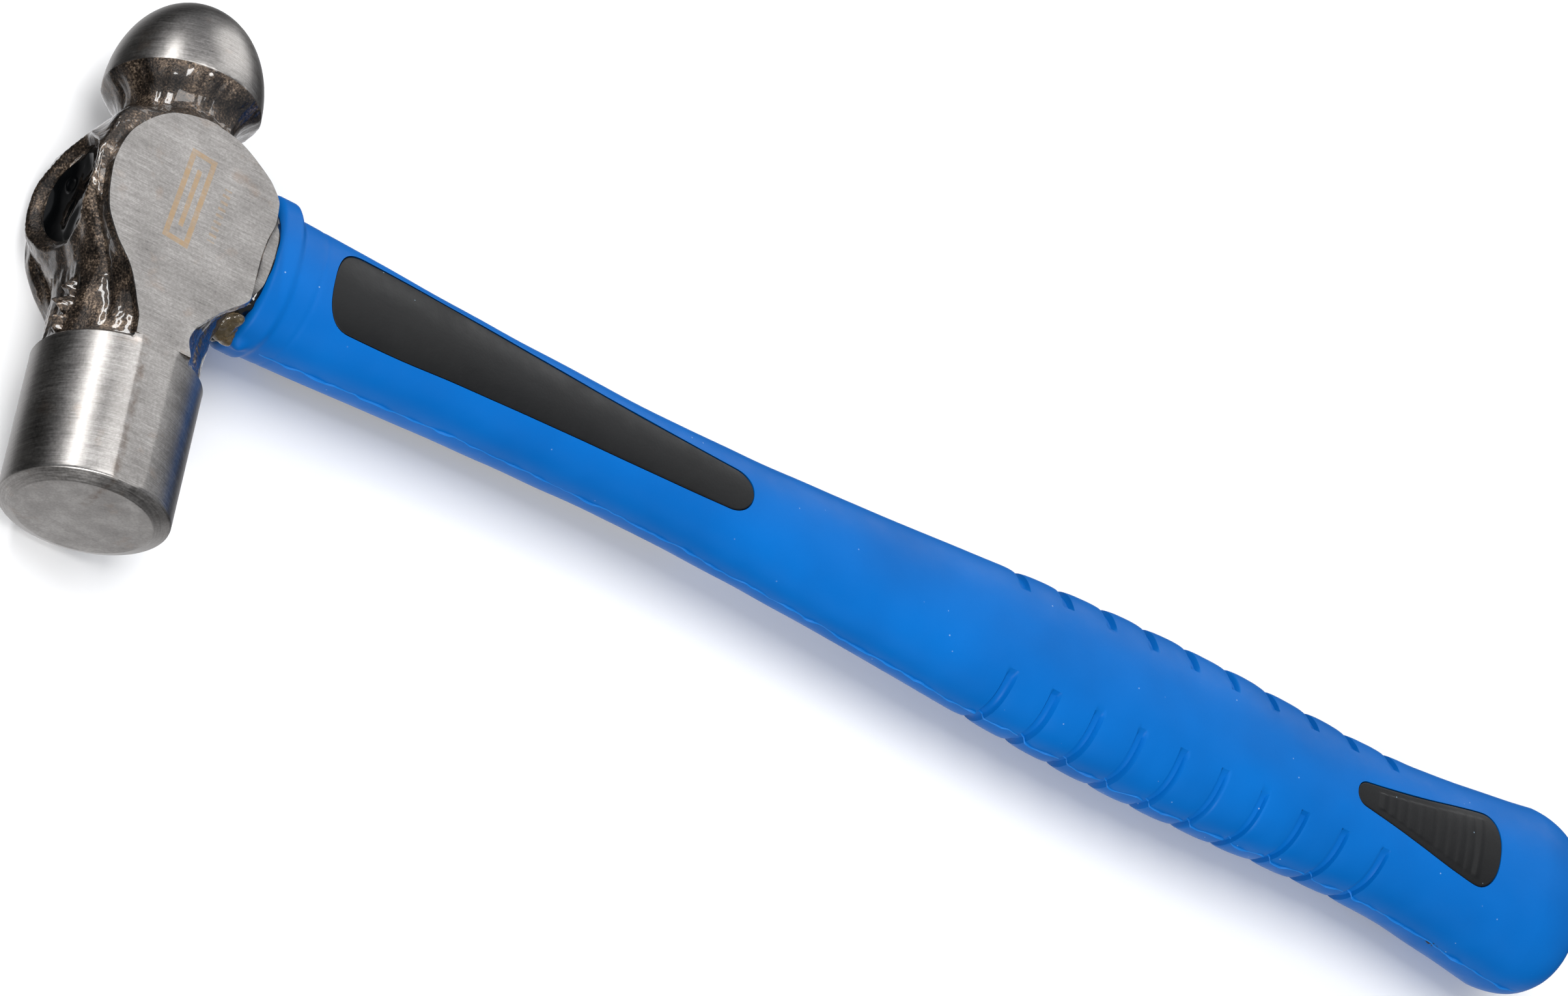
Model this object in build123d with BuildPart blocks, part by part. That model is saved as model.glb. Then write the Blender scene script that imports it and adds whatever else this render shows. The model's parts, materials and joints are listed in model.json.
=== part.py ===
from build123d import *
import math
import os

# Ball peen hammer, millimetres.
# Origin: on the lower ground cheek, right under the middle of the eye.
# +X runs along the handle to the butt, +Y along the head from the striking
# face to the ball, +Z up through the thickness.  The hammer lies on its cheek.

# ---- driving dimensions: head ----
CHEEK_HALF = 15.7            # mid-plane to a ground cheek
BODY_R = 20.0                # round body of the eye, about the vertical axis
CHEEK_FLAT_R = 17.3          # round edge of the ground cheek
CHEEK_BEVEL_DROP = 2.9       # how far the body's edge lies below the cheek
POLL_R = 16.0                # turned poll
FACE_Y = -62.0               # striking face
FACE_FLAT_R = 13.0           # flat inside the face's bevel
FACE_BEVEL = 1.5             # length of the face's bevel along the head
SHOULDER_Y = -31.0           # where the turned poll ends
SHOULDER_BEVEL = 1.2         # edge of the poll at the shoulder
NECK_STATIONS = (            # octagonal neck: place along Y, half width, half flat, bevel drop
    (SHOULDER_Y, 14.2, 6.4, 7.0),
    (-26.0, 13.6, 5.6, 7.4),
    (-18.0, 14.6, 9.8, 5.6),
    (-9.0, 17.0, 14.9, 2.9),
)
BALL_NECK_R = 11.2           # waist under the ball
BALL_NECK_Y = 22.0
BALL_FLARE = (1.2, 3.2)      # a point of the flare under the rim, out and up from the neck
RIM_Y = 28.3                 # lower rim of the ball
RIM_R = 15.3
BALL_TOP_Y = 48.4            # top of the ball

# ---- driving dimensions: eye ----
EYE_MID = (10.2, 8.4)        # half lengths along Y and Z at the middle of the eye
EYE_TOP = (12.2, 11.8)       # at the top mouth, on the -X side
EYE_FOOT = (11.6, 10.2)      # at the lower mouth, on the +X side
MOUTH_OVERRUN = 1.0          # the eye's cut runs this far past the body
CAP_TOP_X = -14.6            # the resin's free surface
CAP_LOWER_X = -11.0          # end of the glass-fibre core

# ---- driving dimensions: handle ----
CORE_HALF = (8.0, 5.6)       # glass-fibre core, half width and half thickness
CORE_END_X = 340.0           # the core stops inside the butt
COLLAR_X = 20.5              # front of the grip
COLLAR_HALF = (16.0, 14.4)
COLLAR_SHIFT_Y = 1.0         # the lip bulges towards the ball
COLLAR_LENGTH = 5.6
GRIP_STATIONS = (            # place along X, half width, half thickness
    (COLLAR_X, 14.3, 12.2),
    (60.0, 12.3, 12.0),      # neck of the handle
    (105.0, 11.3, 10.6),     # narrowest
    (150.0, 13.1, 9.7),      # thinnest
    (200.0, 16.4, 11.3),
    (243.0, 18.0, 12.6),     # palm swell
    (298.0, 16.5, 12.9),     # waist in front of the butt
    (338.0, 20.4, 15.5),     # butt flare
)
BUTT_LENGTH = 14.0           # rounded end past the flare
BUTT_ANGLES = (32.0, 58.0, 76.0, 87.0)
BUTT_ROUNDING = 0.55         # lower is squarer
JACKET_WALL = 2.2            # blue rubber over the hard sleeve
SLEEVE_FRONT_X = 19.8
SLEEVE_BACK_INSET = 4.0

BEAD_HALF = (13.4, 12.2)     # resin squeezed out under the head
BEAD_LENGTH = 9.0

# ---- driving dimensions: grip details ----
RIB_COUNT = 10
RIB_FIRST_X = 199.5
RIB_PITCH = 10.86
RIB_WIDTH = 2.4
RIB_DEPTH = 0.8
RIB_INNER_Y = 9.8            # a groove starts this far from the mid-line
INLAY_X = (33.2, 132.5)      # long side window
INLAY_HALF_Y = (8.3, 4.4)    # its half width at the head end and the far end
INLAY_R = (5.5, 3.2)         # its corner radii
BUTT_INLAY_X = (287.0, 325.3)
BUTT_INLAY_HALF_Y = (2.4, 8.4)
BUTT_INLAY_R = (1.9, 3.0)
BUTT_INLAY_ARC = 5.0         # how far the wide end of the teardrop bulges

BIG = 60.0                   # larger than any section

MID = Plane.XY.offset(CHEEK_HALF)
HEAD_AXIS = Axis((0, 0, CHEEK_HALF), (0, 1, 0))


def across(x):
    """Plane across the handle at x, its own x axis along +Y, centred on the mid-plane."""
    return Plane(origin=(x, 0, CHEEK_HALF), x_dir=(0, 1, 0), z_dir=(1, 0, 0))


def along_head(y):
    """Plane across the head at y, its own x axis along +X, centred on the mid-plane."""
    return Plane(origin=(0, y, CHEEK_HALF), x_dir=(1, 0, 0), z_dir=(0, -1, 0))


def oval(x, half_width, half_thickness):
    """Oval section across the handle at x."""
    with BuildSketch(across(x)) as section:
        Ellipse(half_width, half_thickness)
    return section.sketch


def grip_sections(inset, front_x, back_inset):
    """Oval sections of the handle, pulled in by inset, from front_x to the rounded butt."""
    flare_x, flare_a, flare_b = GRIP_STATIONS[-1]
    last_x = flare_x + BUTT_LENGTH - back_inset
    sections = [oval(max(x, front_x), a - inset, b - inset) for x, a, b in GRIP_STATIONS]
    for angle in BUTT_ANGLES:
        turn = math.radians(angle)
        shrink = math.cos(turn) ** BUTT_ROUNDING
        x = flare_x + (last_x - flare_x) * math.sin(turn)
        sections.append(oval(x, flare_a * shrink - inset, flare_b * shrink - inset))
    return sections


def side_window():
    """Outline of the long window: a tapered slot with round ends."""
    x0, x1 = INLAY_X
    near, far = INLAY_HALF_Y
    with BuildSketch(MID) as window:
        with BuildLine():
            Polyline((x0, -near), (x1, -far), (x1, far), (x0, near), close=True)
        make_face()
        fillet(window.vertices().group_by(Axis.X)[0], INLAY_R[0])
        fillet(window.vertices().group_by(Axis.X)[-1], INLAY_R[1])
    return window.sketch


def butt_window():
    """Outline of the teardrop window near the butt."""
    x0, x1 = BUTT_INLAY_X
    near, far = BUTT_INLAY_HALF_Y
    shoulder_x = x1 - BUTT_INLAY_ARC
    with BuildSketch(MID) as window:
        with BuildLine():
            Polyline((shoulder_x, far), (x0, near), (x0, -near), (shoulder_x, -far))
            ThreePointArc((shoulder_x, -far), (x1, 0), (shoulder_x, far))
        make_face()
        fillet(window.vertices().group_by(Axis.X)[0], BUTT_INLAY_R[0])
        fillet(window.vertices().group_by(Axis.X)[-1], BUTT_INLAY_R[1])
    return window.sketch


def eye_halves():
    """Sections of the eye's two halves: narrowest in the middle, flared to both mouths."""
    middle = oval(0, *EYE_MID)
    top_mouth = oval(-BODY_R - MOUTH_OVERRUN, *EYE_TOP)
    foot_mouth = oval(BODY_R + MOUTH_OVERRUN, *EYE_FOOT)
    return [top_mouth, middle], [middle, foot_mouth]


# ---- 1. head forging ----
with BuildPart() as head_forging:
    # turned poll with the striking face, forged ball neck and ball
    with BuildSketch(MID):
        with BuildLine():
            Polyline(
                (0, FACE_Y),
                (FACE_FLAT_R, FACE_Y),
                (POLL_R, FACE_Y + FACE_BEVEL),
                (POLL_R, SHOULDER_Y - SHOULDER_BEVEL),
                (POLL_R - SHOULDER_BEVEL, SHOULDER_Y),
                (BALL_NECK_R, SHOULDER_Y),
                (BALL_NECK_R, BALL_NECK_Y),
            )
            Spline(
                (BALL_NECK_R, BALL_NECK_Y),
                (BALL_NECK_R + BALL_FLARE[0], BALL_NECK_Y + BALL_FLARE[1]),
                (RIM_R, RIM_Y),
            )
            Spline(
                (RIM_R, RIM_Y),
                (RIM_R * math.sqrt(0.5), RIM_Y + (BALL_TOP_Y - RIM_Y) * math.sqrt(0.5)),
                (0, BALL_TOP_Y),
                tangents=((0, 1), (-1, 0)),
            )
            Line((0, BALL_TOP_Y), (0, FACE_Y))
        make_face()
    revolve(axis=HEAD_AXIS)
    # octagonal forged neck between the poll and the eye, waisted
    for y, half_x, flat, drop in NECK_STATIONS:
        outline = []
        for turn_x, turn_z in ((1, 1), (-1, 1), (-1, -1), (1, -1)):
            on_flat = (turn_x * flat, turn_z * CHEEK_HALF)
            on_side = (turn_x * half_x, turn_z * (CHEEK_HALF - drop))
            outline += [on_side, on_flat] if turn_x == turn_z else [on_flat, on_side]
        with BuildSketch(along_head(y)):
            Polygon(*outline, align=None)
    loft(ruled=True)
    # round body of the eye with its bevelled cheeks
    with BuildSketch(Plane.XZ):
        with BuildLine():
            Polyline(
                (0, 0),
                (CHEEK_FLAT_R, 0),
                (BODY_R, CHEEK_BEVEL_DROP),
                (BODY_R, 2 * CHEEK_HALF - CHEEK_BEVEL_DROP),
                (CHEEK_FLAT_R, 2 * CHEEK_HALF),
                (0, 2 * CHEEK_HALF),
                close=True,
            )
        make_face()
    revolve(axis=Axis.Z)
    # the two cheeks are ground flat, and the grinding clips the poll
    with BuildSketch(Plane.XY):
        Rectangle(4 * BIG, 4 * BIG)
    extrude(amount=2 * CHEEK_HALF, mode=Mode.INTERSECT)
    for half in eye_halves():
        loft(half, mode=Mode.SUBTRACT)
head_forging.part.label = "head_forging"

# ---- 2. glass-fibre core ----
with BuildPart() as fibreglass_core:
    with BuildSketch(across(CAP_LOWER_X)):
        Ellipse(*CORE_HALF)
    extrude(amount=CORE_END_X - CAP_LOWER_X)
fibreglass_core.part.label = "fibreglass_core"

# ---- 3. hard sleeve moulded over the core ----
with BuildPart() as inner_sleeve:
    loft(grip_sections(JACKET_WALL, SLEEVE_FRONT_X, SLEEVE_BACK_INSET))
    add(fibreglass_core.part, mode=Mode.SUBTRACT)
inner_sleeve.part.label = "inner_sleeve"

# ---- 4. rubber grip with collar lip, finger grooves and four windows ----
with BuildPart() as grip_jacket:
    loft(grip_sections(0.0, COLLAR_X, 0.0))
    # collar lip round the front end
    with BuildSketch(across(COLLAR_X)):
        with Locations((COLLAR_SHIFT_Y, 0)):
            Ellipse(*COLLAR_HALF)
    extrude(amount=COLLAR_LENGTH)
    # finger grooves: slots across both edges, refilled up to the groove's floor
    slots_middle_x = RIB_FIRST_X + RIB_PITCH * (RIB_COUNT - 1) / 2
    for side in (-1, 1):
        with BuildSketch(Plane.XY):
            with Locations((slots_middle_x, side * (RIB_INNER_Y + BIG / 2))):
                with GridLocations(RIB_PITCH, BIG, RIB_COUNT, 1):
                    Rectangle(RIB_WIDTH, BIG)
        extrude(amount=BIG, mode=Mode.SUBTRACT)
    loft(grip_sections(RIB_DEPTH, COLLAR_X, RIB_DEPTH))
    # windows through the rubber, on both faces
    for window in (side_window, butt_window):
        extrude(window(), amount=BIG, both=True, mode=Mode.SUBTRACT)
    # the room of the hard sleeve
    add(inner_sleeve.part, mode=Mode.SUBTRACT)
    add(fibreglass_core.part, mode=Mode.SUBTRACT)
grip_jacket.part.label = "grip_jacket"

# ---- 5 to 8. inlays in the four windows, from the sleeve out to the grip's surface ----
with BuildPart() as side_inlay_left:
    loft(grip_sections(0.0, COLLAR_X, 0.0))
    extrude(side_window(), amount=BIG, mode=Mode.INTERSECT)
    add(inner_sleeve.part, mode=Mode.SUBTRACT)
    add(fibreglass_core.part, mode=Mode.SUBTRACT)
side_inlay_left.part.label = "side_inlay_left"

with BuildPart() as side_inlay_right:
    mirror(side_inlay_left.part, about=MID)
side_inlay_right.part.label = "side_inlay_right"

with BuildPart() as butt_inlay_left:
    loft(grip_sections(0.0, COLLAR_X, 0.0))
    extrude(butt_window(), amount=BIG, mode=Mode.INTERSECT)
    add(inner_sleeve.part, mode=Mode.SUBTRACT)
    add(fibreglass_core.part, mode=Mode.SUBTRACT)
butt_inlay_left.part.label = "butt_inlay_left"

with BuildPart() as butt_inlay_right:
    mirror(butt_inlay_left.part, about=MID)
butt_inlay_right.part.label = "butt_inlay_right"

# ---- 9. black resin that closes the top of the eye ----
with BuildPart() as eye_resin_cap:
    loft(eye_halves()[0])
    split(bisect_by=across(CAP_TOP_X), keep=Keep.TOP)
    split(bisect_by=across(CAP_LOWER_X), keep=Keep.BOTTOM)
eye_resin_cap.part.label = "eye_resin_cap"

# ---- 10. resin round the core, down to the hard sleeve's front ----
with BuildPart() as eye_bond_resin:
    for half in eye_halves():
        loft(half)
    split(bisect_by=across(CAP_LOWER_X), keep=Keep.TOP)
    split(bisect_by=across(SLEEVE_FRONT_X), keep=Keep.BOTTOM)
    add(fibreglass_core.part, mode=Mode.SUBTRACT)
eye_bond_resin.part.label = "eye_bond_resin"

# ---- 11. bead of resin squeezed out between the head's round foot and the collar ----
with BuildPart() as resin_bead:
    with BuildSketch(across(COLLAR_X)):
        Ellipse(*BEAD_HALF)
    extrude(amount=-BEAD_LENGTH)
    for half in eye_halves():
        loft(half, mode=Mode.SUBTRACT)
    add(inner_sleeve.part, mode=Mode.SUBTRACT)
    add(fibreglass_core.part, mode=Mode.SUBTRACT)
    add(head_forging.part, mode=Mode.SUBTRACT)
resin_bead.part.label = "resin_bead"

os.makedirs("parts", exist_ok=True)
for piece in (
    head_forging,
    fibreglass_core,
    inner_sleeve,
    grip_jacket,
    side_inlay_left,
    side_inlay_right,
    butt_inlay_left,
    butt_inlay_right,
    eye_resin_cap,
    eye_bond_resin,
    resin_bead,
):
    export_step(piece.part, f"parts/{piece.part.label}.step")
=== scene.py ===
"""Ball peen hammer: the visual model, built over the CAD frame.

Shapes are worked out in millimetres with z measured from the hammer's mid-plane,
+X towards the butt, +Y towards the ball.  They are turned into metres in the
frame's own place when a mesh is made.
"""

import json
import logging
import math
from dataclasses import dataclass, field
from enum import Enum

import bmesh
import bpy
import numpy as np
from mathutils import Matrix, Vector

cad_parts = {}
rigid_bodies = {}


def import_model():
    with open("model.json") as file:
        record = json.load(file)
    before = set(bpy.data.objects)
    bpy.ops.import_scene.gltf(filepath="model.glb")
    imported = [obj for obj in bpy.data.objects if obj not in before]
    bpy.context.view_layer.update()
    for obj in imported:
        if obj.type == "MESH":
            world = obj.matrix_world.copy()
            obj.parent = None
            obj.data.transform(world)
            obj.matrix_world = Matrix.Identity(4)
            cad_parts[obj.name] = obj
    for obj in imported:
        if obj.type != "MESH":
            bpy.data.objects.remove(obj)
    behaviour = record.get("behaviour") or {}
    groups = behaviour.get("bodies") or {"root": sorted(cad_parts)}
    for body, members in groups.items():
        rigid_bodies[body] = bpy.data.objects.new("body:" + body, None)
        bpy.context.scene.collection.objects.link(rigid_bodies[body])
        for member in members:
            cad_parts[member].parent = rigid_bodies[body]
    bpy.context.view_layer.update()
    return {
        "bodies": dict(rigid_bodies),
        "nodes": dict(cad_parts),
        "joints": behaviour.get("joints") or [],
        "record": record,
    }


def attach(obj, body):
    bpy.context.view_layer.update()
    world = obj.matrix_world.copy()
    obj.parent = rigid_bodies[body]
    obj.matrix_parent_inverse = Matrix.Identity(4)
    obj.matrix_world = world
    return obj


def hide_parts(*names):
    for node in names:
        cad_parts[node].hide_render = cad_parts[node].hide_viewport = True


LOG = logging.getLogger("hammer")
MM = 0.001
MID_Z = 15.7  # mid-plane above the resting surface, mm
Tree = bpy.types.NodeTree
Node = bpy.types.Node
Socket = bpy.types.NodeSocket


# ---------------------------------------------------------------- number helpers


def step(low: float, high: float, at: np.ndarray) -> np.ndarray:
    """Smooth step 3u^2 - 2u^3 between two places.

    Args:
        low: where it starts to rise.
        high: where it has risen; below low, the step falls instead.
        at: the places wanted.

    Returns:
        0 before the step and 1 after it.
    """
    u = np.clip((np.asarray(at, float) - low) / (high - low), 0.0, 1.0)
    return u * u * (3.0 - 2.0 * u)


def through(stations: tuple, at: np.ndarray) -> np.ndarray:
    """Smooth curve through stations that never overshoots them.

    Args:
        stations: (place, value) pairs in rising order of place.
        at: the places wanted; outside the stations the end value holds.

    Returns:
        The value at each place, from cubic pieces whose slope at a station is
        the harmonic mean of its neighbours' slopes.
    """
    xs, ys = np.asarray(stations, float).T
    rise = np.diff(ys) / np.diff(xs)
    slope = np.zeros_like(ys)
    slope[0], slope[-1] = rise[0], rise[-1]
    product = rise[:-1] * rise[1:]
    inner = 2.0 * product / np.where(product > 0, rise[:-1] + rise[1:], 1.0)
    slope[1:-1] = np.where(product > 0, inner, 0.0)
    at = np.clip(np.asarray(at, float), xs[0], xs[-1])
    i = np.clip(np.searchsorted(xs, at, side="right") - 1, 0, len(xs) - 2)
    width = xs[i + 1] - xs[i]
    u = (at - xs[i]) / width
    return (
        ys[i] * (1 + 2 * u) * (1 - u) ** 2
        + slope[i] * width * u * (1 - u) ** 2
        + ys[i + 1] * u * u * (3 - 2 * u)
        + slope[i + 1] * width * u * u * (u - 1)
    )


def grain(points: np.ndarray, size: float, seed: int, waves: int = 26) -> np.ndarray:
    """Rounded, even noise of about unit height.

    Args:
        points: (..., 3) places in mm.
        size: about the wavelength, mm.
        seed: picks the pattern.
        waves: how many plane waves in random directions are summed.

    Returns:
        The noise at each place, about -1 to 1.
    """
    rng = np.random.default_rng(seed)
    way = rng.normal(size=(waves, 3))
    way /= np.linalg.norm(way, axis=1, keepdims=True)
    way *= 2 * math.pi / (size * rng.uniform(0.7, 1.5, (waves, 1)))
    phase = rng.uniform(0, 2 * math.pi, waves)
    return np.sin(points @ way.T + phase).sum(-1) / math.sqrt(waves / 2)


def normals(grid: np.ndarray) -> np.ndarray:
    """Unit normals of a grid: the cross product of its two directions.

    Args:
        grid: (rows, columns, 3) places; columns close on themselves.

    Returns:
        (rows, columns, 3) normals that point away from the rings' middles.
    """
    along = np.gradient(grid, axis=0)
    around = np.roll(grid, -1, axis=1) - np.roll(grid, 1, axis=1)
    n = np.cross(along, around)
    size = np.linalg.norm(n, axis=-1, keepdims=True)
    n /= np.where(size > 1e-9, size, 1.0)
    out = grid - grid.mean(axis=1, keepdims=True)
    return n * np.where((n * out).sum() < 0, -1.0, 1.0)


def tipped(grid: np.ndarray) -> np.ndarray:
    """Closes both ends of a grid by one more row, all on the last ring's middle point.

    Args:
        grid: (rows, columns, 3) places.

    Returns:
        The grid with two more rows.
    """
    first, last = (np.broadcast_to(grid[i].mean(0), grid[i].shape)[None] for i in (0, -1))
    return np.concatenate([first, grid, last])


# ---------------------------------------------------------------- mesh helpers


def make_object(name: str, mesh: bpy.types.Mesh) -> bpy.types.Object:
    """Puts a mesh in the scene as an object at the origin.

    Args:
        name: the object's name.
        mesh: its mesh.

    Returns:
        The object.
    """
    made = bpy.data.objects.new(name, mesh)
    bpy.context.collection.objects.link(made)
    return made


def loop_mesh(name: str, grid: np.ndarray, crease: float = 38.0,
              marks: dict[str, np.ndarray] | None = None) -> bpy.types.Object:
    """Closed skin over a grid of rings, with both ends drawn to a point or a line.

    Args:
        name: the object's name.
        grid: (rows, columns, 3) places in mm; columns close on themselves. The
            first and last row are joined by welding the points that coincide.
        crease: edges that turn by more than this many degrees stay crisp.
        marks: a value per vertex, (rows, columns), kept as a named attribute.

    Returns:
        The object, its faces turned outward.
    """
    rows, cols = grid.shape[:2]
    i = np.arange(rows - 1)[:, None] * cols
    j = np.arange(cols)[None, :]
    k = (j + 1) % cols
    quads = np.stack([i + j, i + k, i + cols + k, i + cols + j], -1).reshape(-1, 4)
    points = (grid.reshape(-1, 3) + (0.0, 0.0, MID_Z)) * MM
    mesh = bpy.data.meshes.new(name)
    mesh.from_pydata(points.tolist(), [], quads.tolist())
    for label, values in (marks or {}).items():
        layer = mesh.attributes.new(label, "FLOAT", "POINT")
        layer.data.foreach_set("value", values.astype(np.float32).ravel())
    work = bmesh.new()
    work.from_mesh(mesh)
    bmesh.ops.remove_doubles(work, verts=work.verts, dist=2e-6)
    bmesh.ops.dissolve_degenerate(work, edges=work.edges, dist=1e-7)
    bmesh.ops.recalc_face_normals(work, faces=work.faces)
    if work.calc_volume(signed=True) < 0:
        bmesh.ops.reverse_faces(work, faces=work.faces)
    work.to_mesh(mesh)
    work.free()
    mesh.shade_smooth()
    mesh.set_sharp_from_angle(angle=math.radians(crease))
    return make_object(name, mesh)


def cut(target: bpy.types.Object, *tools: bpy.types.Object, crease: float = 38.0) -> None:
    """Takes the tools' solids out of the target, then removes the tools.

    Args:
        target: the piece that is cut.
        *tools: closed meshes.
        crease: edges that turn by more than this many degrees stay crisp.
    """
    for tool in tools:
        change = target.modifiers.new("cut", "BOOLEAN")
        change.operation, change.object, change.solver = "DIFFERENCE", tool, "MANIFOLD"
    bpy.context.view_layer.update()
    graph = bpy.context.evaluated_depsgraph_get()
    made = bpy.data.meshes.new_from_object(target.evaluated_get(graph))
    target.modifiers.clear()
    target.data = made
    made.shade_smooth()
    made.set_sharp_from_angle(angle=math.radians(crease))
    for tool in tools:
        bpy.data.objects.remove(tool)


def place(piece: bpy.types.Object, look: "Finish", slot: str, *nodes: str) -> bpy.types.Object:
    """Dresses a piece, ties it to the frame and logs it.

    Args:
        piece: the finished object.
        look: its finish.
        slot: the record's material slot.
        *nodes: the CAD nodes it stands for.

    Returns:
        The same piece.
    """
    piece.data.materials.clear()
    piece.data.materials.append(look.material())
    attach(piece, "root")
    if nodes:
        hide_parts(*nodes)
    LOG.info("%s: %d faces, stands for %s", piece.name, len(piece.data.polygons), nodes)
    return piece


# ---------------------------------------------------------------- material helpers


def colour(code: str) -> tuple[float, float, float, float]:
    """Linear colour of an sRGB hex code.

    Args:
        code: such as #0070D8.

    Returns:
        Red, green, blue and an alpha of 1.
    """
    s = [int(code[i:i + 2], 16) / 255 for i in (1, 3, 5)]
    return (*(c / 12.92 if c <= 0.04045 else ((c + 0.055) / 1.055) ** 2.4 for c in s), 1.0)


def node(tree: Tree, kind: str, *values: object, inputs: dict | None = None, stops: tuple = (),
         **settings: object) -> Node:
    """Adds a node with its settings and links.

    Args:
        tree: the node tree.
        kind: the node's type without the leading ShaderNode.
        *values: what goes into its sockets, in their order. A socket is linked from, and
            a node stands for its first output.
        inputs: more sockets, by name.
        stops: a colour ramp's (place, hex code) pairs, in rising order.
        **settings: the node's own attributes.

    Returns:
        The node.
    """
    made = tree.nodes.new("ShaderNode" + kind)
    for key, value in settings.items():
        setattr(made, key, value)
    for key, value in (dict(enumerate(values)) | (inputs or {})).items():
        if isinstance(value, Node):
            value = value.outputs[0]
        if isinstance(value, Socket):
            tree.links.new(value, made.inputs[key])
        else:
            made.inputs[key].default_value = value
    if stops:
        band = made.color_ramp.elements
        while len(band) < len(stops):
            band.new(0.5)
        for element, (at, code) in zip(band, stops):
            element.position, element.color = at, colour(code)
    return made


def lumps_of(size_mm: float, detail: float = 3.0) -> dict[str, float]:
    """Noise settings whose lumps are about size_mm across in Object coordinates."""
    return {"Scale": 1.0 / (size_mm * MM), "Detail": detail, "Roughness": 0.55}


def overlap(tree: Tree, first: Node, *masks: Node | float) -> Node:
    """Where every mask holds at once: the product of them all.

    Args:
        tree: the node tree.
        first: the first mask.
        *masks: the rest; a number thins the whole.

    Returns:
        The node that gives the product.
    """
    for mask in masks:
        first = node(tree, "Math", first, mask, operation="MULTIPLY")
    return first


@dataclass(frozen=True)
class Finish:
    """A surface as it was made: what it is, and how it takes light."""

    name: str
    base: str
    roughness: float
    metallic: float = 0.0
    coat: float = 0.0
    coat_roughness: float = 0.05
    transmission: float = 0.0
    specular: float = 0.5

    def material(self) -> bpy.types.Material:
        """Builds the material the first time it is asked for.

        Returns:
            The material.
        """
        known = bpy.data.materials.get(self.name)
        if known is not None:
            return known
        made = bpy.data.materials.new(self.name)
        made.use_nodes = True
        tree = made.node_tree
        tree.nodes.clear()
        shader = node(tree, "BsdfPrincipled", inputs={
            "Base Color": colour(self.base), "Roughness": self.roughness,
            "Metallic": self.metallic, "Coat Weight": self.coat,
            "Coat Roughness": self.coat_roughness,
            "Transmission Weight": self.transmission, "Specular IOR Level": self.specular,
        })
        node(tree, "OutputMaterial", shader)
        self.dress(tree, shader, node(tree, "TexCoord").outputs["Object"])
        return made

    def dress(self, tree: Tree, shader: Node, where: Socket) -> None:
        """Adds what the flat numbers can't say; a plain finish adds nothing."""


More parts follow.
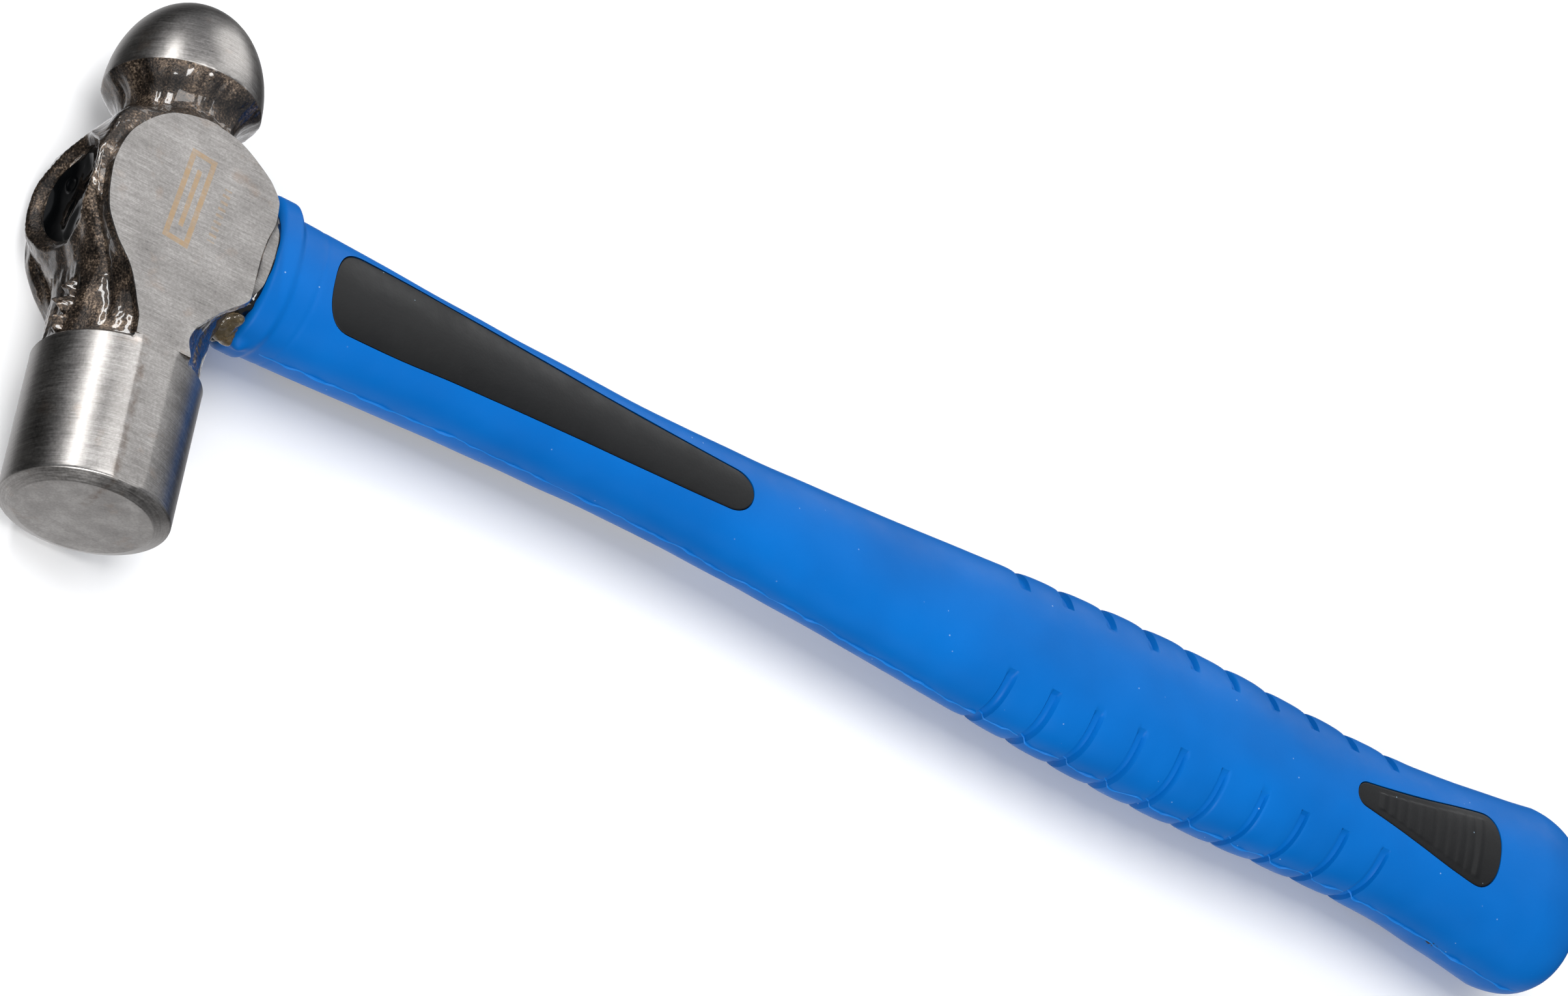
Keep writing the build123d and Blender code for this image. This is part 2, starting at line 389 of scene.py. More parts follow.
@dataclass(frozen=True)
class ForgedAndGroundSteel(Finish):
    """Drop-forged steel: lacquered dark scale, ground bright where the piece is marked ground."""

    brush_mm: float = 0.14
    brush_length_mm: float = 4.5
    line_depth_mm: float = 0.010
    speck_mm: float = 0.42
    pit_depth_mm: float = 0.12
    # the brown stain beside the poll's ground strip
    stain_off_mm: float = 2.0
    stain_drift_mm: float = 1.2
    stain_line_mm: tuple[float, float] = (0.25, 1.1)
    # the etched panel on the upper cheek
    panel_turn_deg: float = 6.0
    panel_shift_mm: tuple[float, float] = (0.9, 0.15)
    panel_half_mm: tuple[float, float] = (9.45, 2.25)
    panel_line_mm: float = 1.1
    bar_half_mm: tuple[float, float] = (6.4, 0.5)
    ticks_off_mm: float = 6.6
    ticks_half_mm: tuple[float, float] = (6.0, 0.8)
    tick_pitch_mm: float = 1.5
    tick_half_mm: float = 0.3
    cheek_high_mm: float = 30.9

    def dress(self, tree: Tree, shader: Node, where: Socket) -> None:
        """Grinding lines cross the head's length; scale is blotched, pitted and lacquered.

        Args:
            tree: the material's node tree.
            shader: its shader.
            where: Object coordinates.
        """
        marked = node(tree, "Attribute", attribute_name="ground").outputs["Fac"]
        ground = node(tree, "MapRange", marked, 0.35, 0.65, 0.0, 1.0)
        lines, tone, bright = self.ground_steel(tree, where)
        speck = node(tree, "TexNoise", where, inputs=lumps_of(self.speck_mm, 2.0))
        blotch = node(tree, "TexNoise", where, inputs=lumps_of(4.5, 4.0))
        mottle = node(tree, "Math", node(tree, "Math", speck, 0.5, operation="MULTIPLY"),
                      node(tree, "Math", blotch, 0.5, operation="MULTIPLY"), operation="ADD")
        # scale colour: dark brown mottling of the scale itself; its pale tan specks are partly the
        # scale's own tone and partly painted glints
        scale_tone_and_glints = node(tree, "ValToRGB", mottle, stops=(
            (0.36, "#1A1715"), (0.48, "#3A322B"), (0.56, "#5C4E42"), (0.66, "#A08D79")))
        rough_ground = node(tree, "MapRange", tone, 0.35, 0.65, 0.27, 0.42)
        rough_scale = node(tree, "MapRange", speck, 0.35, 0.65, 0.28, 0.55)
        fine = node(tree, "Bump", inputs={"Height": lines, "Distance": self.line_depth_mm * MM})
        pits = node(tree, "Bump", inputs={"Height": speck, "Distance": self.pit_depth_mm * MM})
        # the lacquer lies on the scale only, so its weight falls to nothing on ground steel
        for socket, kind, on_scale, on_ground in (
                ("Base Color", "RGBA", scale_tone_and_glints, bright), ("Roughness", "FLOAT", rough_scale, rough_ground),
                ("Normal", "VECTOR", pits, fine), ("Coat Weight", "FLOAT", 1.0, 0.0)):
            both = node(tree, "Mix", inputs={"Factor": ground, "A": on_scale, "B": on_ground},
                        data_type=kind)
            tree.links.new(both.outputs["Result"], shader.inputs[socket])
        metal = node(tree, "MapRange", ground, 0.0, 1.0, 0.75, 1.0)
        tree.links.new(metal.outputs[0], shader.inputs["Metallic"])

    def ground_steel(self, tree: Tree, where: Socket) -> tuple[Node, Node, Socket]:
        """Brushed lines, their tone with broad streaks and clouds, and the stained colour.

        Args:
            tree: the material's node tree.
            where: Object coordinates.

        Returns:
            The lines' height, the tone and the colour.
        """
        long, fine = 1 / self.brush_length_mm, 1 / self.brush_mm
        stretched = node(tree, "Mapping", where, inputs={"Scale": (long, fine, long)})
        scaled = node(tree, "VectorMath", stretched, inputs={"Scale": 1 / MM}, operation="SCALE")
        lines = node(tree, "TexNoise", scaled, inputs={"Scale": 1.0, "Detail": 4.0, "Roughness": 0.6})
        # broad streaks: several grinding passes lie side by side
        broad = node(tree, "TexNoise", scaled, inputs={"Scale": 0.16, "Detail": 2.0})
        cloud = node(tree, "TexNoise", where, inputs=lumps_of(9.0))
        sparkle = node(tree, "TexNoise", where, inputs=lumps_of(0.5, 2.0))
        tone = node(tree, "Math", lines, 0.40, operation="MULTIPLY")
        for part, weight in ((sparkle, 0.22), (broad, 0.13), (cloud, 0.25)):
            share = node(tree, "Math", part, weight, operation="MULTIPLY")
            tone = node(tree, "Math", tone, share, operation="ADD")
        bright = node(tree, "ValToRGB", tone, stops=(
            (0.32, "#6E6B69"), (0.5, "#93908D"), (0.68, "#BAB7B4"))).outputs[0]
        # a thin brown stain keeps to a few patches of the ground steel
        patches = node(tree, "TexNoise", where, inputs=lumps_of(5.0, 5.0))
        stain = node(tree, "MapRange", patches, 0.60, 0.76, 0.0, 0.3)
        for mask, code in ((stain, "#9A7F68"), (self.seep(tree, where), "#5E4C3E"),
                           (self.etched(tree, where), "#A98F6E")):
            bright = node(tree, "Mix", inputs={"Factor": mask, "A": bright, "B": colour(code)},
                          data_type="RGBA").outputs["Result"]
        return lines, tone, bright

    def seep(self, tree: Tree, where: Socket) -> Node:
        """Thin brown stain that has run down the poll beside its ground strip.

        Args:
            tree: the material's node tree.
            where: Object coordinates.

        Returns:
            A mask: full on a line that wanders beside the strip, broken into patches.
        """
        across, along, high = node(tree, "SeparateXYZ", where).outputs
        wander = node(tree, "TexNoise", where, inputs=lumps_of(9.0))
        drift = node(tree, "Math", wander, self.stain_drift_mm * MM, operation="MULTIPLY")
        beside = node(tree, "Math", across, self.stain_off_mm * MM, operation="ADD")
        off = node(tree, "Math", node(tree, "Math", beside, drift, operation="ADD"),
                   operation="ABSOLUTE")
        core, edge = self.stain_line_mm
        line = node(tree, "MapRange", off, core * MM, edge * MM, 1.0, 0.0)
        poll = node(tree, "MapRange", along, -31.0 * MM, -31.8 * MM, 0.0, 1.0)
        upper = node(tree, "Math", high, 20.0 * MM, operation="GREATER_THAN")
        broken = node(tree, "TexNoise", where, inputs=lumps_of(2.2, 4.0))
        patchy = node(tree, "MapRange", broken, 0.40, 0.66, 0.0, 0.55)
        return overlap(tree, line, poll, upper, patchy)

    def etched(self, tree: Tree, where: Socket) -> Node:
        """Plain etched panel on the upper cheek: a long frame, a bar in it, a row of ticks.

        Args:
            tree: the material's node tree.
            where: Object coordinates.

        Returns:
            A mask: the frame is where the greater of the two distances from the panel's
            middle line comes near its half width; the rest are plain ranges.
        """
        turn = math.radians(self.panel_turn_deg)
        shift = tuple(v * MM for v in (*self.panel_shift_mm, 0.0))
        moved = node(tree, "Mapping", where, inputs={"Location": shift})
        local = node(tree, "Mapping", moved, inputs={
            "Rotation": (0, 0, turn), "Scale": (1 / MM, 1 / MM, 1 / MM)})
        across, along, high = node(tree, "SeparateXYZ", local).outputs
        far = node(tree, "Math", along, operation="ABSOLUTE")
        wide = node(tree, "Math", across, operation="ABSOLUTE")
        long, half = self.panel_half_mm
        beyond = node(tree, "Math", far, long - half, operation="SUBTRACT")
        reach = node(tree, "Math", beyond, wide, operation="MAXIMUM")
        off = node(tree, "Math", node(tree, "Math", reach, half, operation="SUBTRACT"),
                   operation="ABSOLUTE")
        frame = node(tree, "Math", off, self.panel_line_mm / 2, operation="LESS_THAN")
        bar = overlap(tree, node(tree, "Math", far, self.bar_half_mm[0], operation="LESS_THAN"),
                      node(tree, "Math", wide, self.bar_half_mm[1], operation="LESS_THAN"))
        to_row = node(tree, "Math", across, self.ticks_off_mm, operation="SUBTRACT")
        to_row = node(tree, "Math", to_row, operation="ABSOLUTE")
        comb = node(tree, "Math", along, self.tick_pitch_mm / 2, operation="PINGPONG")
        ticks = overlap(tree, node(tree, "Math", to_row, self.ticks_half_mm[1], operation="LESS_THAN"),
                        node(tree, "Math", comb, self.tick_half_mm, operation="LESS_THAN"),
                        node(tree, "Math", far, self.ticks_half_mm[0], operation="LESS_THAN"), 0.6)
        mark = node(tree, "Math", node(tree, "Math", frame, bar, operation="MAXIMUM"), ticks,
                    operation="MAXIMUM")
        upper = node(tree, "Math", high, self.cheek_high_mm, operation="GREATER_THAN")
        rubbed = node(tree, "TexNoise", where, inputs=lumps_of(1.4, 3.0))
        worn = node(tree, "MapRange", rubbed, 0.25, 0.6, 0.35, 0.85)
        return overlap(tree, mark, upper, worn)


@dataclass(frozen=True)
class MouldedSkin(Finish):
    """Injection-moulded polymer with a fine spark texture, faint mottling and dust."""

    dark: str = "#000000"
    dust: float = 0.55
    dust_pitch_mm: float = 3.4
    texture_mm: float = 0.35
    depth_mm: float = 0.02

    def dress(self, tree: Tree, shader: Node, where: Socket) -> None:
        """Colour drifts a little over centimetres; a fine texture breaks the highlights.

        Args:
            tree: the material's node tree.
            shader: its shader.
            where: Object coordinates.
        """
        drift = node(tree, "TexNoise", where, inputs=lumps_of(22.0, 2.0))
        skin = node(tree, "ValToRGB", drift, stops=((0.3, self.dark), (0.7, self.base)))
        # pale dust grains sit in the skin, a few to the square centimetre
        cells = node(tree, "TexVoronoi", where, inputs={"Scale": 1 / (self.dust_pitch_mm * MM)})
        grains = node(tree, "MapRange", cells, 0.035, 0.055, self.dust, 0.0)
        patches = node(tree, "TexNoise", where, inputs=lumps_of(11.0, 1.0))
        few = node(tree, "MapRange", patches, 0.50, 0.56, 0.0, 1.0)
        dusty = node(tree, "Mix", inputs={"Factor": overlap(tree, grains, few), "A": skin,
                                          "B": colour("#A9C4D8")}, data_type="RGBA")
        tree.links.new(dusty.outputs["Result"], shader.inputs["Base Color"])
        touched = node(tree, "TexNoise", where, inputs=lumps_of(6.0, 4.0))
        handled = node(tree, "MapRange", touched, 0.3, 0.7, self.roughness - 0.05,
                       self.roughness + 0.07)
        tree.links.new(handled.outputs[0], shader.inputs["Roughness"])
        uneven = node(tree, "TexNoise", where, inputs=lumps_of(5.0, 2.0))
        soft = node(tree, "Bump", inputs={"Height": uneven, "Distance": 0.10 * MM, "Strength": 0.6})
        spark = node(tree, "TexNoise", where, inputs=lumps_of(self.texture_mm, 2.0))
        fine = node(tree, "Bump", inputs={"Height": spark, "Distance": self.depth_mm * MM,
                                          "Strength": 0.8, "Normal": soft})
        tree.links.new(fine.outputs[0], shader.inputs["Normal"])


@dataclass(frozen=True)
class CastResin(Finish):
    """Poured epoxy: a glassy skin with slow waves."""

    wave_mm: float = 3.0
    wave_depth_mm: float = 0.12

    def dress(self, tree: Tree, shader: Node, where: Socket) -> None:
        """Slow surface waves make the reflections swim.

        Args:
            tree: the material's node tree.
            shader: its shader.
            where: Object coordinates.
        """
        slow = node(tree, "TexNoise", where, inputs=lumps_of(self.wave_mm, 1.0))
        swim = node(tree, "Bump", inputs={"Height": slow, "Distance": self.wave_depth_mm * MM,
                                          "Strength": 0.8})
        tree.links.new(swim.outputs[0], shader.inputs["Normal"])


@dataclass(frozen=True)
class Pultrusion(Finish):
    """Glass rovings drawn straight through resin: fine pale lines along the bar."""

    line_mm: float = 0.303
    run_mm: float = 16.67

    def dress(self, tree: Tree, shader: Node, where: Socket) -> None:
        """Fine lines run the length of the bar.

        Args:
            tree: the material's node tree.
            shader: its shader.
            where: Object coordinates.
        """
        along, fine = 1 / (self.run_mm * MM), 1 / (self.line_mm * MM)
        drawn = node(tree, "Mapping", where, inputs={"Scale": (along, fine, fine)})
        lines = node(tree, "TexNoise", drawn, inputs={"Scale": 1.0})
        tint = node(tree, "ValToRGB", lines, stops=((0.3, "#B9B48F"), (0.7, self.base)))
        tree.links.new(tint.outputs[0], shader.inputs["Base Color"])


# lacquered scale reads as dark, glinting brown; ground steel as pale brushed grey
STEEL = ForgedAndGroundSteel("forged_steel_lacquered_and_ground", "#C2BFBC", 0.35, 1.0,
                             coat_roughness=0.07)
# satin blue rubber, slightly darker where the mould was cooler
BLUE_RUBBER = MouldedSkin("blue_rubber_injection_moulded", "#0063B4", 0.45, dark="#005BA8",
                          specular=0.11)
# the thin skirt left along the parting line is painted a lighter blue than the grip, a painted highlight
# for the light it catches
BLUE_FLASH_PAINTED_HIGHLIGHT = MouldedSkin("blue_rubber_flash_painted_highlight", "#0E76C8", 0.45, dark="#0A6CBC",
                         specular=0.3)
# near-black satin plastic with a soft grey sheen
BLACK_INLAY = MouldedSkin("black_polymer_inlay_moulded", "#0C0D0F", 0.48, dark="#090A0B",
                          specular=0.28, texture_mm=0.6, depth_mm=0.03)
# the same black, a little duller, on the shell under the grip
BLACK_SLEEVE = MouldedSkin("black_plastic_sleeve_moulded", "#0E0F10", 0.5, dark="#0B0B0C")
# wet-looking black fill of the eye
BLACK_RESIN = CastResin("black_epoxy_poured", "#060708", 0.06)
# amber-clear squeeze-out
CLEAR_RESIN = CastResin("clear_epoxy_squeezed_out", "#E6CDA2", 0.04, transmission=0.92,
                        wave_mm=1.2)
# straw-coloured bar with fine lines drawn along it
GLASS_FIBRE = Pultrusion("glass_fibre_pultruded", "#D8D4B4", 0.45)
# matt white sheet with no shine
PAPER = Finish("studio_paper", "#F7F7F7", 0.9)


# ---------------------------------------------------------------- the head


class Side(Enum):
    """The two long sides of the head: where the eye opens, and where the handle leaves."""

    MOUTH = -1
    FOOT = 1


@dataclass
class Head:
    """Drop-forged head: turned poll, octagonal neck, round eye body and ball peen."""

    cheek_half: float = 15.7
    edge_step: float = 1.35
    mouth_step: float = 0.7
    poll_r: float = 16.0
    face_y: float = -62.0
    shoulder_y: float = -31.0
    neck_end_y: float = 22.0
    neck_r: float = 11.2
    rim_y: float = 28.3
    rim_r: float = 15.3
    top_y: float = 48.4
    eye_y: float = 0.5
    eye_half: tuple[float, float] = (12.0, 12.7)
    throat: float = 0.84
    # half width of the ground cheek along the head, on each side
    cheek: dict[Side, tuple] = field(default_factory=lambda: {
        Side.MOUTH: ((-31, 5.1), (-28, 5.3), (-25, 6.4), (-21.5, 7.8), (-18.6, 9.4), (-14.2, 13.2),
                     (-8.7, 16.2), (-4, 17.0), (-0.7, 17.2), (3.1, 16.7), (6.9, 15.5), (10.8, 12.9),
                     (14.9, 8.3), (16.3, 4.6), (17.2, 1.0), (22, 1.9)),
        Side.FOOT: ((-31, 6.5), (-27.5, 5.4), (-25, 6.1), (-18.8, 11.0), (-13.6, 15.6), (-5.7, 15.7),
                    (-1, 16.2), (3.8, 17.2), (7.2, 17.0), (10.6, 14.9), (13.2, 11.5), (16.1, 6.0),
                    (17.2, 1.0), (22, 1.9)),
    })
    # half width of the whole section at the mid-plane
    reach: dict[Side, tuple] = field(default_factory=lambda: {
        Side.MOUTH: ((-31, 14.0), (-26, 13.5), (-20, 13.7), (-16, 14.4), (-12, 16.1), (-9, 17.9),
                     (-5, 19.3), (0, 19.9), (3, 19.9), (6, 19.6), (9, 18.7), (12, 17.2), (15, 15.0),
                     (18, 12.7), (22, 11.2)),
        Side.FOOT: ((-31, 14.0), (-26, 13.6), (-20, 14.2), (-16, 15.5), (-12.9, 17.0), (-8.6, 18.3),
                    (-4, 18.9), (0.4, 19.1), (4.6, 18.8), (8, 17.9), (12, 15.7), (15, 13.7),
                    (18, 12.2), (22, 11.2)),
    })
    # crease and ridge of the forged diagonals: place, half width, height
    crease: tuple = ((-31, 9.6, 10.9), (-26, 9.5, 11.0), (-20.6, 10.6, 10.5), (-15, 12.6, 10.4),
                     (-10, 16.0, 11.9), (-5, 18.3, 13.0), (0, 18.9, 13.2), (12, 16.1, 13.2),
                     (22, 6.4, 9.2))
    ridge: tuple = ((-31, 14.0, 5.4), (-24.5, 13.7, 6.1), (-15.7, 14.6, 5.2), (-10, 17.3, 8.4),
                    (-5, 19.3, 10.8), (0, 19.9, 11.2), (12, 17.1, 10.6), (22, 9.7, 5.6))

    # noise on the scale: depth, lump size, seed
    roughness: tuple = ((0.025, 1.4, 3), (0.07, 5.0, 4), (0.012, 0.9, 5))
    # columns of the section that carry the crease, one to each quarter
    crease_columns: tuple[int, ...] = (41, 91, 173, 223)

    def quadrant(self, y: np.ndarray, side: Side) -> np.ndarray:
        """Quarter of the section at each y: cheek middle, cheek edge, crease, ridge, side.

        The cheek and its sharp step are straight runs; from the step's foot a
        cubic runs through the crease and the ridge and arrives at the side upright.

        Args:
            y: (rows,) places along the head.
            side: which long side.

        Returns:
            (rows, columns, 2) half width and height, both positive.
        """
        c = through(self.cheek[side], y)
        h = through(self.reach[side], y)
        top = (self.cheek_half - self.edge_step * step(17.1, 17.6, y)
               - (self.cheek_half - self.edge_step - self.neck_r) * step(17.4, 21.5, y))
        drop = self.edge_step * (1 - step(17.1, 17.6, y))
        if side is Side.MOUTH:
            drop += self.mouth_step * step(-22, -10, y) * (1 - step(12, 16, y))
        bevel = np.zeros_like(y)
        if side is Side.FOOT:
            bevel = step(-17.0, -9.0, y) * (1 - step(0.0, 9.0, y))
        foot = np.stack([c + 0.4 + bevel * (h - 0.6 - c), top - drop * (1 - 0.35 * bevel)], -1)
        crease = np.stack([through([(a, b) for a, b, _ in self.crease], y),
                           through([(a, b) for a, _, b in self.crease], y)], -1)
        ridge = np.stack([through([(a, b) for a, b, _ in self.ridge], y),
                          through([(a, b) for a, _, b in self.ridge], y)], -1)
        share = h / through(self.reach[Side.MOUTH], y)
        crease[:, 0] *= share
        ridge[:, 0] = np.minimum(ridge[:, 0] * share, h)
        crease[:, 0] = np.maximum(crease[:, 0], foot[:, 0] - 1.2)
        # near the ball the knots slide on to the round neck
        round_off = step(14.5, 21.5, y)[:, None]
        for knot, angle in ((crease, 54.0), (ridge, 28.0)):
            a = math.radians(angle)
            circle = self.neck_r * np.array([math.cos(a), math.sin(a)])
            knot += (circle - knot) * round_off
        end = np.stack([h, np.zeros_like(h)], -1)
        knots = np.stack([foot, crease, ridge, end], 1)
        slope = np.empty_like(knots)
        slope[:, 0] = 0.6 * (knots[:, 1] - knots[:, 0])
        slope[:, 1] = 0.42 * (knots[:, 2] - knots[:, 0])
        slope[:, 2] = 0.42 * (knots[:, 3] - knots[:, 1])
        slope[:, 3, 0] = 0.0
        slope[:, 3, 1] = -knots[:, 2, 1]
        runs = [np.linspace(0, 1, 25)[:-1, None] * np.stack([c, np.zeros_like(c)], -1)[:, None, :]
                + np.stack([np.zeros_like(top), top], -1)[:, None, :]]
        edge = np.stack([c, top], -1)
        # on the foot side the bevel starts with a little upright step
        u = np.linspace(0, 1, 5)[None, :-1]
        fall = np.stack([u ** (1 + 0.9 * bevel[:, None]), u ** (1 - 0.62 * bevel[:, None])], -1)
        runs.append(edge[:, None] + fall * (foot - edge)[:, None])
        for i, count in enumerate((13, 13, 12)):
            u = np.linspace(0, 1, count + 1)[:-1, None]
            a, b = knots[:, None, i], knots[:, None, i + 1]
            s, t = slope[:, None, i], slope[:, None, i + 1]
            runs.append(a * (1 + 2 * u) * (1 - u) ** 2 + s * u * (1 - u) ** 2
                        + b * u * u * (3 - 2 * u) + t * u * u * (u - 1))
        return np.concatenate(runs, 1)

    def section(self, y: np.ndarray) -> np.ndarray:
        """Whole section: four mirrored quarters in turn.

        Args:
            y: (rows,) places along the head.

        Returns:
            (rows, columns, 2) as x and z.
        """
        mouth, foot = (self.quadrant(y, side) for side in (Side.MOUTH, Side.FOOT))
        top_mid = mouth[:, :1]
        side_mouth = np.stack([through(self.reach[Side.MOUTH], y), 0 * y], -1)[:, None]
        side_foot = np.stack([through(self.reach[Side.FOOT], y), 0 * y], -1)[:, None]
        return np.concatenate([
            mouth * (-1, 1),
            side_mouth * (-1, 1), mouth[:, :0:-1] * (-1, -1),
            top_mid * (1, -1), foot[:, 1:] * (1, -1),
            side_foot, foot[:, :0:-1],
        ], 1)

    def turned(self, y: np.ndarray, r: np.ndarray, angle: np.ndarray) -> np.ndarray:
        """Rings round the head's axis, clipped by the ground cheeks.

        Args:
            y: (rows,) places along the head.
            r: radius of each row, or of each point.
            angle: (columns,) angle of each column.

        Returns:
            (rows, columns, 3) places.
        """
        r = r if r.ndim == 2 else r[:, None]
        x = r * np.cos(angle)
        z = np.clip(r * np.sin(angle), -self.cheek_half, self.cheek_half)
        return np.stack([x, np.broadcast_to(y[:, None], x.shape), z], -1)

    def mouth(self, y: np.ndarray, z: np.ndarray) -> np.ndarray:
        """How far out in the eye's mouth a point is.

        A superellipse whose power falls from 2 to 1.4 towards the ball, so that it is
        round below and drawn to a leaf's point above.

        Args:
            y: places along the head.
            z: heights over the mid-plane.

        Returns:
            0 at the mouth's middle, 1 on its rim.
        """
        u, v = (y - self.eye_y) / self.eye_half[0], np.abs(z) / self.eye_half[1]
        q = 2.0 - 0.6 * step(0.05, 0.75, u)
        return (np.abs(u) ** q + v ** q) ** (1 / q)

    def skin(self) -> tuple[np.ndarray, np.ndarray]:
        """Whole head from the face's middle to the ball's top, ring after ring.

        Face, poll, lip, neck, flare and ball are turned; between lip and flare the rings
        are the forged sections.  The ball is an ellipse with its shoulders filled out.

        Returns:
            The (rows, columns, 3) grid, and a mask that is 1 where the steel is ground.
        """
        y_body = np.concatenate([np.linspace(self.shoulder_y, 16.6, 168),
                                 np.linspace(16.6, 18.0, 13)[1:],
                                 np.linspace(18.0, self.neck_end_y, 15)[1:]])
        flat = self.section(y_body)
        body = np.stack([flat[..., 0], np.broadcast_to(y_body[:, None], flat.shape[:2]),
                         flat[..., 1]], -1)
        angle = np.arctan2(body[0, :, 2], body[0, :, 0])
        face_u = np.linspace(0, 1, 12)
        face = self.turned(self.face_y + 0.25 * face_u ** 2, 0.02 + 12.75 * face_u, angle)
        profile = np.array([(0.26, 12.92), (0.28, 13.02), (0.34, 13.18), (0.85, 14.35),
                            (1.38, 15.58), (1.48, 15.78), (1.62, 15.92), (1.95, 16.0), (2.4, 16.0)])
        bevel = self.turned(self.face_y + profile[:, 0], profile[:, 1], angle)
        y_poll = np.linspace(self.face_y + 2.4, self.shoulder_y - 1.25, 40)[1:]
        poll = self.turned(y_poll, self.poll_r + 0.003 * (y_poll - self.face_y), angle)
        lip = np.array([(-0.95, 16.12), (-0.62, 15.86), (-0.32, 15.5), (-0.1, 15.05), (-0.02, 14.7)])
        lip_r = np.maximum(lip[:, 1:], np.minimum(np.hypot(body[0, :, 0], body[0, :, 2]), 16.15)[None])
        lip = self.turned(self.shoulder_y + lip[:, 0], lip_r, angle)
        ledge = lip[-1] + np.linspace(0, 1, 6)[1:-1, None, None] * (body[0] - lip[-1])
        y_flare = np.array([23.2, 24.3, 25.3, 26.2, 26.9, 27.4, 27.8, 28.0])
        r_flare = np.array([11.35, 11.8, 12.5, 13.4, 14.2, 14.75, 15.1, 15.25])
        angle_ball = np.arctan2(body[-1, :, 2], body[-1, :, 0])
        flare = self.turned(y_flare, r_flare, angle_ball)
        t = np.radians(np.concatenate([[0.0, 1.0, 2.2], np.linspace(4, 89.8, 46)]))
        dome = self.turned(self.rim_y + (self.top_y - self.rim_y) * np.sin(t),
                           self.rim_r * np.cos(t) ** 0.94, angle_ball)
        grid = np.concatenate([face, bevel, poll, lip, ledge, body, flare, dome])
        ground = np.ones(grid.shape[:2])
        first = len(face) + len(bevel) + len(poll) + len(lip)
        last = first + len(ledge) + len(body)
        ground[first:last + len(flare)] = 0.0
        on_cheek = np.abs(body[..., 2]) > self.cheek_half - 0.02
        foot_bevel = ((body[..., 0] > 13.0) & (np.abs(body[..., 2]) > self.cheek_half - 1.0)
                      & (np.abs(body[..., 2]) < self.cheek_half - 0.6)
                      & (body[..., 1] < 7.0) & (body[..., 1] > -15.0))
        ground[first + len(ledge):last] = on_cheek | foot_bevel
        ground = np.concatenate([ground[:1], ground, ground[-1:]])
        # a drawn-in line follows the crease of each of the four diagonals
        at = np.arange(grid.shape[1])[None, :]
        y = grid[..., 1]
        valley = sum(np.exp(-((at - middle) / 2.4) ** 2) for middle in self.crease_columns)
        valley = valley * step(-31, -28, y) * (1 - step(-13, -7, y)) * (1 - ground[1:-1])
        grid = grid - 0.5 * normals(grid) * valley[..., None]
        return self.weather(tipped(grid), ground), ground

    def weather(self, grid: np.ndarray, ground: np.ndarray) -> np.ndarray:
        """Adds the eye's forged mouth, the burr and the roughness of the scale.

        Each is a height along the normals: sums of noise, a cosine four times round the
        ball's neck, and a bell-shaped ridge for the burr.  The mouth moves points along X.

        Args:
            grid: (rows, columns, 3) places.
            ground: 1 where the steel is ground, which stays smooth.

        Returns:
            The grid, moved.
        """
        x, y, z = np.moveaxis(grid, -1, 0)
        rough = (1 - ground) * step(self.shoulder_y - 0.1, self.shoulder_y + 1.2, y)
        out = normals(grid)
        height = sum(deep * grain(grid, size, seed) for deep, size, seed in self.roughness)
        # upright flow lines on the side facing away from the handle and on the ball's neck
        lines = np.stack([grid[..., 0], 0.12 * grid[..., 1], grid[..., 2]], -1)
        under_ball = step(15, 18, y) * (1 - step(26, 28, y))
        on_side = step(-14, -17, y) * (1 - step(4, 7, np.abs(z)))
        height += grain(lines, 1.9, 6) * (0.09 * on_side + 0.06 * under_ball)
        # the neck under the ball is drawn out four-square
        height -= 0.32 * np.cos(4 * np.arctan2(z, x)) * under_ball
        # a torn burr stands on the neck's side, next to the poll
        lump = np.exp(-((z - 2.6 - 0.10 * (y + 24)) / 1.5) ** 2)
        lump *= step(-31.5, -29, y) * (1 - step(-23, -17.5, y))
        tear = 0.75 + 0.75 * grain(grid * (1, 0.8, 1), 2.1, 7)
        height += np.where(x < -8, 1.5 * lump * np.clip(tear, 0, 2.2), 0.0)
        grid = grid + out * (height * rough)[..., None]
        # the mouth: a raised crest, then a forged bevel down to the throat
        e = self.mouth(y, z)
        on_mouth = x < -7.0
        crest = 0.22 * np.exp(-((e - 1.03) / 0.05) ** 2) * (1 - step(11.0, 13.0, np.abs(z)))
        well = 2.3 * (1 - step(self.throat - 0.06, 1.0, e)) + 0.25 * (1 - step(0.98, 1.02, e))
        grid[..., 0] += np.where(on_mouth, well - crest, 0.0)
        grid[..., 0] = np.maximum(grid[..., 0], -20.0)
        grid[..., 2] = np.clip(grid[..., 2], -self.cheek_half, self.cheek_half)
        return grid

    def bore(self) -> bpy.types.Object:
        """The eye right through the head: leaf-shaped at the mouth, oval inside.

        Returns:
            The closed solid that is cut from the head.
        """
        x = np.linspace(-22.0, 22.0, 34)
        t = np.linspace(0, 2 * math.pi, 120, endpoint=False)
        half_y = through(((-22, 10.1), (-12, 10.0), (0, 10.2), (22, 11.6)), x)[:, None]
        half_z = through(((-22, 10.7), (-12, 10.0), (0, 8.4), (22, 10.2)), x)[:, None]
        leaf = 0.6 * (1 - step(-14, -4, x))[:, None]
        cy, cz = np.cos(t), np.sin(t)
        q = 2.0 - leaf * step(0.05, 0.75, cy)
        size = (np.abs(cy) ** q + np.abs(cz) ** q) ** (-1 / q)
        mid = self.eye_y * (1 - step(-14, 0, x))[:, None]
        rings = np.stack([np.broadcast_to(x[:, None], size.shape), mid + half_y * size * cy,
                          half_z * size * cz], -1)
        return loop_mesh("eye_bore", tipped(rings))

